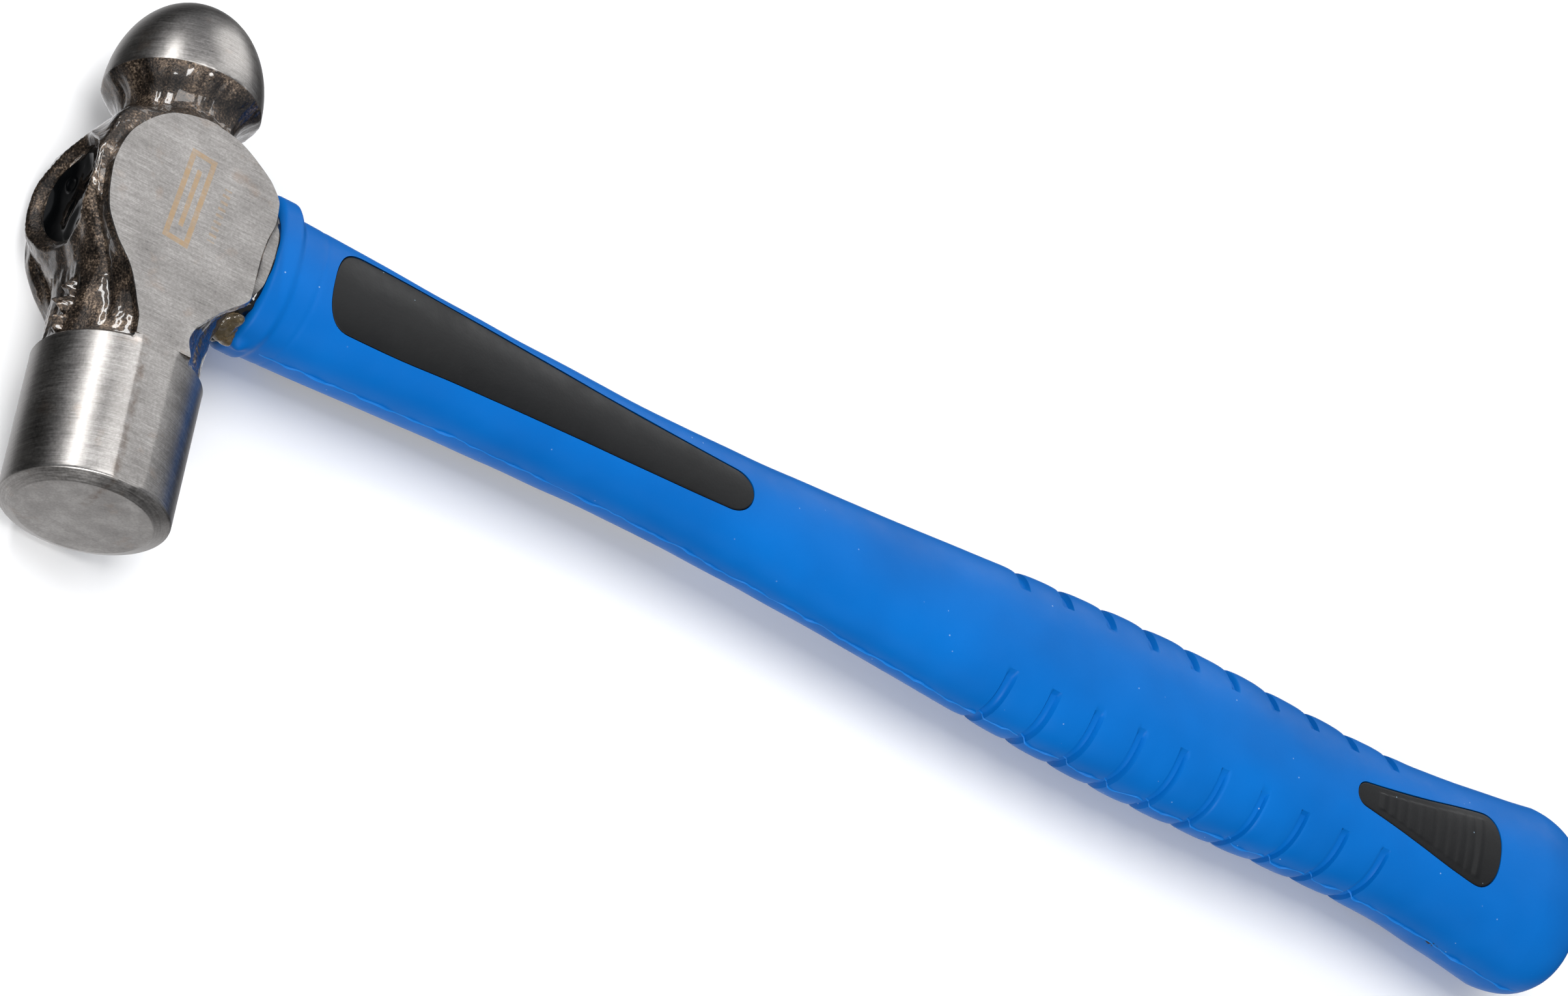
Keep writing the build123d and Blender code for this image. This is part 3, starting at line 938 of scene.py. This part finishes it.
    def build(self) -> bpy.types.Object:
        """Skins the head and cuts its eye.

        Returns:
            The finished head.
        """
        grid, ground = self.skin()
        piece = loop_mesh("forged_head", grid, 42.0, {"ground": ground})
        cut(piece, self.bore(), crease=42.0)
        return place(piece, STEEL, "forged_steel", "head_forging")


# ---------------------------------------------------------------- resin in and under the eye


@dataclass
class EyeResin:
    """Black resin that fills the eye's mouth, with a meniscus and two burst bubbles."""

    head: Head
    level_x: float = -15.2
    floor_x: float = -11.0
    bubbles: tuple = ((4.0, -4.6, 1.35, 0.22), (5.6, 3.0, 0.8, 0.12), (-3.0, 5.5, 0.5, 0.08))

    def build(self) -> bpy.types.Object:
        """Polar grid from the back's middle round the wall to the surface's middle.

        The surface rises to the wall with the fifth power of the distance from the
        middle; each bubble is a bell-shaped rim round a shallow dish.

        Returns:
            The finished piece.
        """
        t = np.linspace(0, 2 * math.pi, 144, endpoint=False)
        cy, cz = np.cos(t), np.sin(t)
        q = 2.0 - 0.6 * step(0.05, 0.75, cy)
        size = (np.abs(cy) ** q + np.abs(cz) ** q) ** (-1 / q)
        share = np.concatenate([np.linspace(0, 1, 8)[:-1], np.linspace(1, 0, 60)])[:, None]
        y = self.head.eye_y + 10.06 * share * size * cy
        z = 10.35 * share * size * cz
        body_x = -through(self.head.reach[Side.MOUTH], y)
        wall = np.maximum(body_x + 2.7, -17.2)
        x = self.level_x + (wall - self.level_x) * share ** 5
        x += 0.10 * grain(np.stack([0 * y, y, z], -1), 7.0, 21)
        for by, bz, r, high in self.bubbles:
            far = np.hypot(y - by, z - bz)
            x -= high * np.exp(-((far - r) / 0.22) ** 2) - 0.5 * high * np.exp(-(far / r) ** 4)
        x = np.clip(x, -19.0, self.floor_x - 0.5)
        x[:7] = self.floor_x
        piece = loop_mesh("eye_resin_surface", np.stack([x, y, z], -1), 60.0)
        return place(piece, BLACK_RESIN, "black_resin", "eye_resin_cap")


@dataclass
class SqueezeOut:
    """Resin pressed out under the head: a black band, with clear and amber lumps on one side."""

    front_x: float = 13.4
    back_x: float = 20.4
    half: tuple[float, float] = (13.7, 12.0)
    inner_half: tuple[float, float] = (12.0, 9.9)
    shift_y: float = 0.8
    drop_middle: tuple[float, float, float] = (17.3, -14.0, 2.6)
    drop_r: float = 2.1
    drop_stretch: tuple[float, float, float] = (1.1, 0.8, 1.35)
    # direction of each drop, how far it stands out, how narrow it is
    drops: tuple = (((0.1, 0.1, 0.95), 2.4, 6.0), ((-0.5, -0.3, 0.6), 1.5, 7.0),
                    ((0.5, -0.8, -0.1), 1.7, 7.0), ((-0.4, -0.9, 0.1), 1.4, 9.0))

    def band(self) -> bpy.types.Object:
        """Ring round the handle whose section is a soft hump, lumped by noise.

        The hump is the square root of a sine.

        Returns:
            The finished piece.
        """
        t = np.linspace(0, 2 * math.pi, 180, endpoint=False)[None, :]
        s = np.linspace(0, math.pi, 26)[:, None]
        x = (self.front_x + self.back_x) / 2 - (self.back_x - self.front_x) / 2 * np.cos(s) + 0 * t
        swell = 0.9 * np.sin(s) ** 0.5
        y = self.shift_y + (self.half[0] + swell) * np.cos(t)
        z = (self.half[1] + swell) * np.sin(t)
        outer = np.stack([x, y + 0 * s, z + 0 * s], -1)
        lump = 0.45 * grain(outer, 5.0, 31) + 0.18 * grain(outer, 2.2, 32)
        flat = np.clip(lump, -0.8, 0.9) * np.sin(s)
        outer[..., 1] += flat * np.cos(t)
        outer[..., 2] += flat * np.sin(t)
        inner = outer[::-1].copy()
        inner[..., 1] = self.inner_half[0] * np.cos(t)
        inner[..., 2] = self.inner_half[1] * np.sin(t)
        grid = np.concatenate([inner[:1], outer, inner])
        piece = loop_mesh("bond_resin_band", grid, 60.0)
        return place(piece, BLACK_RESIN, "black_resin", "eye_bond_resin")

    def lumps(self) -> bpy.types.Object:
        """Clear drops at the neck's side under one skin.

        The radius about a common middle is a base plus a bell-shaped swelling in each
        drop's direction.

        Returns:
            The finished piece.
        """
        v = np.linspace(0.01, math.pi - 0.01, 60)[:, None]
        t = np.linspace(0, 2 * math.pi, 90, endpoint=False)[None, :]
        way = np.stack([np.sin(v) * np.cos(t), np.cos(v) + 0 * t, np.sin(v) * np.sin(t)], -1)
        size = np.full(way.shape[:2], self.drop_r)
        for lean, high, tight in self.drops:
            lean = np.array(lean) / np.linalg.norm(lean)
            size += high * np.exp(tight * (way @ lean - 1))
        size += 0.12 * grain(way * 3.0, 1.6, 41)
        places = self.drop_middle + way * size[..., None] * self.drop_stretch
        piece = loop_mesh("clear_resin_lumps", places, 60.0)
        return place(piece, CLEAR_RESIN, "clear_resin", "resin_bead")


# ---------------------------------------------------------------- the grip


@dataclass
class Grip:
    """Moulded rubber grip: shape of its outer surface, grooves, lip, flash and windows."""

    front_x: float = 19.9
    flare_x: float = 338.0
    end_x: float = 351.95
    wall: float = 2.2
    power: float = 2.3
    # half width and half thickness along the handle
    width: tuple = ((20.5, 14.35), (30, 13.9), (40, 13.4), (60, 12.25), (80, 11.6), (105, 11.3),
                    (130, 12.0), (155, 13.4), (180, 15.1), (205, 16.7), (230, 17.8), (250, 17.95),
                    (280, 16.9), (298, 16.4), (310, 16.9), (322, 18.3), (338, 20.4))
    thick: tuple = ((20.5, 12.2), (40, 12.3), (60, 12.2), (80, 11.5), (105, 10.4), (130, 9.8),
                    (150, 9.6), (180, 10.3), (205, 11.5), (230, 12.4), (280, 12.7), (300, 12.9),
                    (320, 13.9), (338, 15.45))
    lip_half: tuple[float, float] = (15.9, 12.7)
    lip_shift: float = 1.0
    lip_end_x: float = 25.3
    lip_fade: float = 0.9
    groove_first_x: float = 199.5
    groove_pitch: float = 10.86
    groove_count: int = 10
    groove_width: float = 2.0
    groove_depth: float = 0.95
    groove_inner_y: float = 9.8
    land_drop: float = 0.42
    rib_row: float = 0.33     # row spacing over the grooves
    inner_end_x: float = 347.2
    butt_power: float = 0.33  # the smaller, the squarer the butt
    nose: tuple[float, float] = (1.1, 1.3)  # rounding of the front edge: depth, length
    crease_x: float = 30.6
    crease_depth: float = 0.07
    shrink_depth: float = 0.035
    blob_high: float = 1.3
    most_z: float = 15.69     # a hair inside the resting surface
    flash_x: tuple[float, float] = (27.2, 347.0)
    flash_high: float = 0.24
    flash_half_wide: float = 0.19
    flash_sway: float = 0.50  # sideways swing of the parting line at each groove

    def groove(self, x: np.ndarray) -> np.ndarray:
        """Where the finger grooves are: smooth steps either side of every pitch.

        Args:
            x: places along the grip.

        Returns:
            1 on a groove's floor, 0 between grooves.
        """
        i = np.clip(np.round((x - self.groove_first_x) / self.groove_pitch), 0, self.groove_count - 1)
        off = np.abs(x - self.groove_first_x - self.groove_pitch * i)
        half = self.groove_width / 2
        return 1 - step(half - 0.2, half + 0.2, off)

    def crown(self, x: np.ndarray) -> np.ndarray:
        """Drop of the lands between grooves: none in their middle, a cubic to their edges.

        Args:
            x: places along the grip.

        Returns:
            The drop in mm.
        """
        turn = (x - self.groove_first_x) / self.groove_pitch
        last = self.groove_count
        lands = step(-0.6, -0.2, turn) * (1 - step(last - 0.8, last - 0.4, turn))
        return self.land_drop * (2 * np.abs(turn - np.floor(turn) - 0.5)) ** 3 * lands

    def halves(self, x: np.ndarray) -> tuple[np.ndarray, np.ndarray]:
        """Half width and half thickness, drawn in over the butt by a superellipse.

        Args:
            x: places along the grip.

        Returns:
            The two halves at each place.
        """
        turn = np.clip((x - self.flare_x) / (self.end_x - self.flare_x), 0, 0.99999)
        shrink = np.sqrt(1 - turn ** 2) ** self.butt_power
        return through(self.width, x) * shrink, through(self.thick, x) * shrink

    def height(self, x: np.ndarray, y: np.ndarray) -> np.ndarray:
        """Height of the plain superellipse section over the mid-plane.

        Args:
            x: places along the grip.
            y: places across it.

        Returns:
            The height at each place.
        """
        a, b = self.halves(x)
        inside = np.clip(1 - (np.abs(y) / a) ** self.power, 0, 1)
        return b * inside ** (1 / self.power)

    def rows(self) -> tuple[np.ndarray, np.ndarray]:
        """Places of the rows along X, close together over the lip, the grooves and the butt.

        Returns:
            The inner skin's from the butt forward, then the outer skin's.
        """
        inner = np.concatenate([[self.inner_end_x, 346.9], np.linspace(346.3, self.flare_x, 9),
                                np.linspace(334, 24, 42), [self.front_x]])
        ribs = np.arange(193.5, 303.0, self.rib_row)
        butt = self.flare_x + (self.end_x - self.flare_x) * np.sin(np.linspace(0, 1.5705, 26))
        outer = np.concatenate([
            np.linspace(self.front_x, 33.0, 40), np.linspace(33, 193.5, 62)[1:-1], ribs,
            np.linspace(303.5, self.flare_x, 16)[:-1], butt])
        return inner, outer

    def skin(self) -> np.ndarray:
        """Grid of the closed shell.

        A section is a superellipse of power 2.3.  Its columns crowd towards the
        parting seam.  The lip, the ring crease and the grooves move the outer
        surface; the inner skin is the plain section pulled in by the wall.

        Returns:
            (rows, columns, 3) places.
        """
        v = np.linspace(0, 2 * math.pi, 156, endpoint=False)
        t = v - 0.22 * np.sin(2 * v)
        cy, cz = np.cos(t), np.sin(t)
        size = (np.abs(cy) ** self.power + np.abs(cz) ** self.power) ** (-1 / self.power)
        inner_x, outer_x = self.rows()
        a, b = self.halves(np.minimum(inner_x, self.flare_x))
        late = np.clip((inner_x - self.flare_x) / (self.inner_end_x - self.flare_x), 0, 1)
        pull = np.sqrt(1 - late ** 2) ** 0.6
        a_in = np.maximum((a - self.wall) * pull, 0.01)[:, None]
        b_in = np.maximum((b - self.wall) * pull, 0.01)[:, None]
        inner = np.stack([np.broadcast_to(inner_x[:, None], (len(inner_x), len(v))),
                          a_in * cy, b_in * cz], -1)
        a, b = (h[:, None] for h in self.halves(outer_x))
        lip = (1 - step(self.lip_end_x - self.lip_fade, self.lip_end_x + self.lip_fade, outer_x))[:, None]
        ahead = 1 - np.clip((outer_x[:, None] - self.front_x) / self.nose[1], 0, 1)
        nose = self.nose[0] * ahead ** 2.2
        full_a, full_b = (self.lip_half[0] - nose), (self.lip_half[1] - nose)
        reach_y = size * cy * (a * (1 - lip) + full_a * lip) + self.lip_shift * lip
        reach_z = size * cz * (b * (1 - lip) + full_b * lip)
        outer = np.stack([np.broadcast_to(outer_x[:, None], reach_y.shape), reach_y, reach_z], -1)
        x, y, z = np.moveaxis(outer, -1, 0)
        out = normals(outer)
        beyond = step(self.groove_inner_y - 0.35, self.groove_inner_y + 0.35, np.abs(y))
        depth = -self.groove_depth * self.groove(x) * beyond
        rim = step(self.groove_inner_y - 1.5, self.groove_inner_y + 3.5, np.abs(y))
        depth -= self.crown(x) * rim
        # ring crease behind the lip, and shrink marks no deeper than a hair
        depth -= self.crease_depth * np.exp(-((x - self.crease_x - 0.05 * y) / 0.45) ** 2)
        depth += self.shrink_depth * grain(outer, 14.0, 51) * step(34, 60, x)
        # a blob of flash hangs on the lip at the parting seam
        blob = np.exp(-((x - 22.0) / 1.6) ** 2 - ((z - 1.2) / 1.5) ** 2) * (y < 0)
        depth += self.blob_high * blob
        depth *= (x < self.end_x - 1.0)
        outer = outer + out * depth[..., None]
        outer[..., 0] = np.clip(outer[..., 0], self.front_x, self.end_x)
        outer[..., 2] = np.clip(outer[..., 2], -self.most_z, self.most_z)
        return tipped(np.concatenate([inner, outer]))

    def build(self, windows: list[bpy.types.Object]) -> bpy.types.Object:
        """Skins the grip and cuts its windows.

        Args:
            windows: closed prisms through the whole grip.

        Returns:
            The finished grip.
        """
        piece = loop_mesh("rubber_grip", self.skin(), 34.0)
        cut(piece, *windows, crease=34.0)
        return place(piece, BLUE_RUBBER, "blue_rubber", "grip_jacket")

    def flash(self, side: int) -> bpy.types.Object:
        """Thin wavy fin along the parting seam, dipping into every groove.

        Rings of a small triangle-like section ride on the surface's edge line, which
        wanders by noise and swings with a sine at the grooves' pitch.

        Args:
            side: +1 for the ball's side, -1 for the face's.

        Returns:
            The finished fin.
        """
        first, last = self.flash_x
        x = np.concatenate([np.linspace(first, 193, 260), np.arange(193.3, 303, self.rib_row),
                            np.linspace(303.3, last, 70)])
        a = self.halves(x)[0] - self.groove_depth * self.groove(x) - self.crown(x)
        line = np.stack([x, 0 * x, 0 * x], -1)
        wander = 0.16 * grain(line, 9.0, 61 + side) + 0.10 * grain(line, 2.6, 63 + side)
        swing = np.sin(2 * math.pi * (x - 194.1) / self.groove_pitch)
        wander += self.flash_sway * swing * step(194, 199, x) * (1 - step(296, 302, x))
        high = np.clip(self.flash_high + 0.12 * grain(line, 4.0, 65 + side), 0.06, 0.6)
        high *= step(first, 32, x) * (1 - step(342, last, x))
        t = np.linspace(0, 2 * math.pi, 8, endpoint=False)
        y = side * (a[:, None] + high[:, None] * np.cos(t))
        z = wander[:, None] + (self.flash_half_wide - 0.07 * np.cos(t)) * np.sin(t)
        grid = np.stack([np.broadcast_to(x[:, None], y.shape), y, z], -1)
        name = f"seam_flash_{'ball' if side > 0 else 'face'}_side"
        piece = loop_mesh(name, tipped(grid), 60.0)
        # the fin wears the lighter blue of a painted highlight, not a different rubber
        return place(piece, BLUE_FLASH_PAINTED_HIGHLIGHT, "blue_rubber")


@dataclass
class Inlay:
    """A black inlay and the window it sits in."""

    name: str
    span: tuple[float, float]
    stations: tuple
    corner: tuple[float, float]
    corner_power: tuple[float, float]
    gap: float = 0.13
    recess: float = 0.10
    edge: float = 0.35
    prism_half: float = 26.0
    # first place, pitch, count, width and height of the raised bars
    bars: tuple = ()

    def outline(self, inset: float, count: int = 90) -> np.ndarray:
        """Closed outline as (x, y), pulled in by inset.

        The half width follows the stations and is rounded off at either end by a
        superellipse corner; points crowd towards both ends.

        Args:
            inset: how far in from the nominal outline.
            count: points along each long edge.

        Returns:
            (points, 2) places, once round.
        """
        u = np.linspace(0, 1, count)
        u = u * u * (3 - 2 * u)
        u = u * u * (3 - 2 * u)
        x0, x1 = self.span
        x = x0 + (x1 - x0) * u
        w = through(self.stations, x)
        for away, length, power in ((x - x0, self.corner[0], self.corner_power[0]),
                                    (x1 - x, self.corner[1], self.corner_power[1])):
            near = np.clip(1 - away / length, 0, 1)
            w = w * (1 - near ** power) ** (1 / power)
        line = np.concatenate([np.stack([x, w], -1), np.stack([x, -w], -1)[-2:0:-1]])
        ahead = np.roll(line, -1, 0) - np.roll(line, 1, 0)
        side = np.stack([ahead[:, 1], -ahead[:, 0]], -1)
        side /= np.linalg.norm(side, axis=1, keepdims=True)
        return line + inset * side

    def window(self) -> bpy.types.Object:
        """Prism on the outline, through the whole grip.

        Returns:
            The closed solid that is cut from the grip.
        """
        line = self.outline(0.0)
        z = self.prism_half * np.array([-1.0, -1.0, 1.0, 1.0])[:, None]
        middle = np.stack([line[:, 0], 0 * line[:, 1]], -1)
        x = np.stack([middle[:, 0], line[:, 0], line[:, 0], middle[:, 0]])
        y = np.stack([middle[:, 1], line[:, 1], line[:, 1], middle[:, 1]])
        return loop_mesh(self.name + "_window", np.stack([x, y, z + 0 * x], -1), 60.0)

    def build(self, grip: Grip, side: int, suffix: str, node_name: str) -> bpy.types.Object:
        """Pad whose rings run from the spine underneath, up the wall, to the spine on top.

        Args:
            grip: gives the surface the pad lies in.
            side: +1 for the upper face, -1 for the lower.
            suffix: end of the piece's name.
            node_name: the CAD node it stands for.

        Returns:
            The finished inlay.
        """
        line = self.outline(self.gap)
        spine = np.stack([line[:, 0], 0 * line[:, 1]], -1)
        outer = np.array([0.0, 0.5, 1.0, 1.0, 1.0, 0.996, 0.985, 0.965, 0.94])
        share = np.concatenate([outer, np.linspace(0.9, 0, 26)])[:, None]
        x = spine[:, 0] + share * (line - spine)[:, 0]
        y = spine[:, 1] + share * (line - spine)[:, 1]
        top = grip.height(x, y) - self.recess
        width = np.abs(line[:, 1])[None, :]
        inward = (1 - share) * np.maximum(width, 1.2)
        # the edge turns over with a small radius
        lip = np.clip(1 - inward / self.edge, 0, 1)
        top -= self.edge * (1 - np.sqrt(np.clip(1 - lip ** 2, 0, 1)))
        top += self.relief(x, y)
        base = grip.height(x, y) - grip.wall + 0.1
        z = top.copy()
        z[:3] = base[:3]
        z[3] = (base[3] + top[3]) / 2
        piece = loop_mesh(f"{self.name}_{suffix}", np.stack([x, y, side * z], -1), 40.0)
        return place(piece, BLACK_INLAY, "black_inlay", node_name)

    def relief(self, x: np.ndarray, y: np.ndarray) -> np.ndarray:
        """Raised detail: plain bars across the pad, or a faint flow step near the head end.

        Args:
            x: places along the pad.
            y: places across it.

        Returns:
            The height added at each place.
        """
        if not self.bars:
            bend = 41.0 + 0.10 * (y + 8) + 9.0 * step(-6, 6, -y)
            return 0.05 * (step(-0.5, 0.5, x - bend) - 1)
        first, pitch, count, wide, high = self.bars
        i = np.clip(np.round((x - first) / pitch), 0, count - 1)
        off = np.abs(x - first - pitch * i)
        half = through(self.stations, x) - 1.7
        bar = 1 - step(wide / 2 - 0.15, wide / 2 + 0.15, off)
        return high * bar * (1 - step(-0.2, 0.2, np.abs(y) - half))


# ---------------------------------------------------------------- studio


@dataclass
class Softbox:
    """A rectangular lamp that faces the hammer's head."""

    name: str
    direction: tuple[float, float, float]
    distance: float
    size: tuple[float, float]
    power: float
    aim: tuple[float, float, float] = (0.08, 0.0, 0.0157)

    def build(self) -> None:
        """Adds the lamp, turned towards its aim."""
        data = bpy.data.lights.new(self.name, "AREA")
        data.shape, (data.size, data.size_y), data.energy = "RECTANGLE", self.size, self.power
        lamp = bpy.data.objects.new(self.name, data)
        bpy.context.collection.objects.link(lamp)
        way = Vector(self.direction).normalized()
        lamp.location = Vector(self.aim) + way * self.distance
        # the lamp's own Y lies as near the head's length as it can
        along = (Vector((0, 1, 0)) - way * way.y).normalized()
        lamp.rotation_euler = Matrix((along.cross(way), along, way)).transposed().to_euler()


@dataclass
class Studio:
    """White table, soft lamps and the camera."""

    aim: tuple[float, float, float] = (0.1457, 0.0094, 0.0157)
    distance: float = 1.1517
    azimuth: float = 43.3   # from -Y towards -X, degrees
    elevation: float = 48.0
    roll: float = 61.5      # of the view's right axis above the level, degrees
    lens: float = 133.9
    sensor: float = 36.0
    world_strength: float = 1.05
    lamps: tuple[Softbox, ...] = (
        Softbox("key_over_the_mouth", (-0.70, 0.475, 0.54), 1.3, (0.16, 0.9), 7.0,
                (0.0, -0.03, 0.0157)),
        Softbox("overhead", (-0.15, 0.1, 1.0), 1.7, (1.0, 1.3), 17.5),
        Softbox("cheek_sheen", (0.46, 0.49, 0.74), 1.7, (1.0, 0.9), 1.5),
        Softbox("ball_side_rim", (0.5, 1.0, 0.45), 1.4, (1.1, 0.8), 6.0),
        Softbox("face_side_fill", (-0.3, -1.0, 0.35), 1.6, (0.8, 0.5), 22.0),
    )

    def camera(self) -> None:
        """Stands the camera at its bearing, rolled so that the handle falls to the right."""
        az, el, roll = (math.radians(v) for v in (self.azimuth, self.elevation, self.roll))
        away = Vector((-math.sin(az) * math.cos(el), -math.cos(az) * math.cos(el), math.sin(el)))
        level = Vector((0, 0, 1)).cross(away).normalized()
        upward = away.cross(level).normalized()
        right = level * math.cos(roll) + upward * math.sin(roll)
        up = away.cross(right)
        turn = Matrix((right, up, away)).transposed()
        data = bpy.data.cameras.new("camera")
        data.lens, data.sensor_width = self.lens, self.sensor
        data.clip_start, data.clip_end = 0.05, 20.0
        made = bpy.data.objects.new("camera", data)
        bpy.context.collection.objects.link(made)
        made.matrix_world = Matrix.Translation(Vector(self.aim) + away * self.distance) @ turn.to_4x4()
        bpy.context.scene.camera = made

    def floor(self) -> None:
        """Pale table top that the hammer rests on."""
        mesh = bpy.data.meshes.new("table_top")
        mesh.from_pydata([(-4, -4, 0), (4, -4, 0), (4, 4, 0), (-4, 4, 0)], [], [(0, 1, 2, 3)])
        mesh.materials.append(PAPER.material())
        top = make_object("table_top", mesh)
        # the lower half of the surroundings lights the hammer from below, not the table
        top.visible_glossy = top.visible_diffuse = top.visible_shadow = False

    def world(self) -> None:
        """Soft surroundings: dim below the table, pale above it."""
        world = bpy.data.worlds.new("studio")
        world.use_nodes = True
        tree = world.node_tree
        tree.nodes.clear()
        way = node(tree, "TexCoord").outputs["Generated"]
        across, _, high = node(tree, "SeparateXYZ", way).outputs
        climb = node(tree, "MapRange", high, -1.0, 1.0, 0.0, 1.0)
        shade = node(tree, "ValToRGB", climb, stops=(
            (0.12, "#EDEDEF"), (0.28, "#4C4C4E"), (0.40, "#1E1E20"), (0.54, "#8E9094"),
            (0.80, "#A6A8AC")))
        # a black card on the eye's side, from just over the table's level downwards
        card = overlap(tree, node(tree, "MapRange", across, -0.12, -0.40, 0.0, 0.9),
                       node(tree, "MapRange", high, 0.02, 0.14, 1.0, 0.0),
                       node(tree, "MapRange", high, -0.86, -0.76, 0.0, 1.0))
        left = node(tree, "Math", 1.0, card, operation="SUBTRACT")
        strength = node(tree, "Math", left, self.world_strength, operation="MULTIPLY")
        node(tree, "OutputWorld", node(tree, "Background", shade, strength))
        bpy.context.scene.world = world

    def build(self) -> None:
        """Sets up everything round the hammer."""
        self.world()
        self.floor()
        for lamp in self.lamps:
            lamp.build()
        self.camera()
        bpy.context.scene.view_settings.view_transform = "Standard"


# ---------------------------------------------------------------- assembly


SIDE_INLAY = Inlay(
    "long_inlay", (33.2, 133.0),
    ((33.2, 8.5), (45, 8.3), (70, 7.0), (95, 5.8), (133, 4.35)),
    (6.5, 5.0), (2.5, 2.2),
)
BUTT_INLAY = Inlay(
    "tear_inlay", (287.0, 325.5),
    ((287, 2.5), (295, 3.7), (305, 5.5), (315, 7.6), (321, 8.6), (325.5, 8.9)),
    (2.6, 5.6), (2.2, 2.5),
    bars=(294.0, 2.6, 11, 1.2, 0.22),
)


def dress_hidden_nodes(nodes: dict[str, bpy.types.Object]) -> None:
    """Gives the CAD pieces that stay in view their own finishes.

    Args:
        nodes: the frame's nodes by name.
    """
    for name, look in (("fibreglass_core", GLASS_FIBRE), ("inner_sleeve", BLACK_SLEEVE)):
        nodes[name].data.materials.clear()
        nodes[name].data.materials.append(look.material())


def main() -> None:
    """Builds every sub-assembly in order over the loaded frame."""
    logging.basicConfig(level=logging.INFO, format="%(message)s")
    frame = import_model()
    head = Head()
    head.build()
    EyeResin(head).build()
    squeeze = SqueezeOut()
    squeeze.band()
    squeeze.lumps()
    grip = Grip()
    grip.build([SIDE_INLAY.window(), BUTT_INLAY.window()])
    for side in (-1, 1):
        grip.flash(side)
    for side, suffix in ((1, "left"), (-1, "right")):
        SIDE_INLAY.build(grip, side, suffix, f"side_inlay_{suffix}")
        BUTT_INLAY.build(grip, side, suffix, f"butt_inlay_{suffix}")
    dress_hidden_nodes(frame["nodes"])
    Studio().build()


if __name__ == "__main__":
    main()
